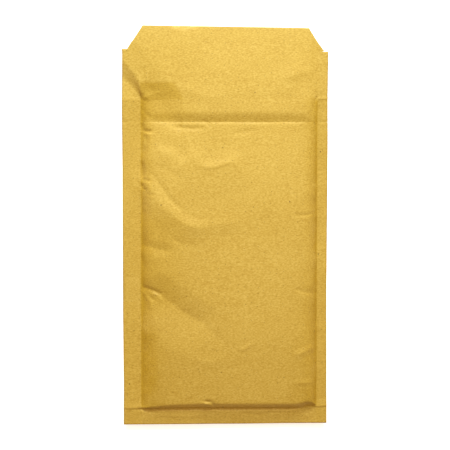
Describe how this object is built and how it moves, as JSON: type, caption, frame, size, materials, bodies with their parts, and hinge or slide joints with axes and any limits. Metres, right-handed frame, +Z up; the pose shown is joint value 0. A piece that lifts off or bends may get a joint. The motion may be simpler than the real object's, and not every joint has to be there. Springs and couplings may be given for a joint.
{
  "type": "padded envelope",
  "caption": "Kraft paper mailing envelope lined with bubble film, glued at the sides and bottom, with an open flap that carries a covered glue band.",
  "frame": {"origin": "under the middle of the whole envelope, flap included, on the surface that it lies on", "axes": "+X across the width, +Y from the bottom seam to the flap, +Z up out of the front face"},
  "size_m": [0.14, 0.275, 0.0115],
  "materials": {
    "kraft_paper": "machine-glazed ochre kraft, matte",
    "bubble_film": "clear polyethylene bubble film",
    "hot_melt_glue": "glossy amber hot-melt band",
    "silicone_paper": "off-white silicone release paper, satin"
  },
  "bodies": {
    "root": {"front_sheet": "kraft_paper", "back_sheet": "kraft_paper", "front_bubble_film": "bubble_film", "back_bubble_film": "bubble_film", "flap_glue": "hot_melt_glue", "release_strip": "silicone_paper"}
  },
  "joints": []
}
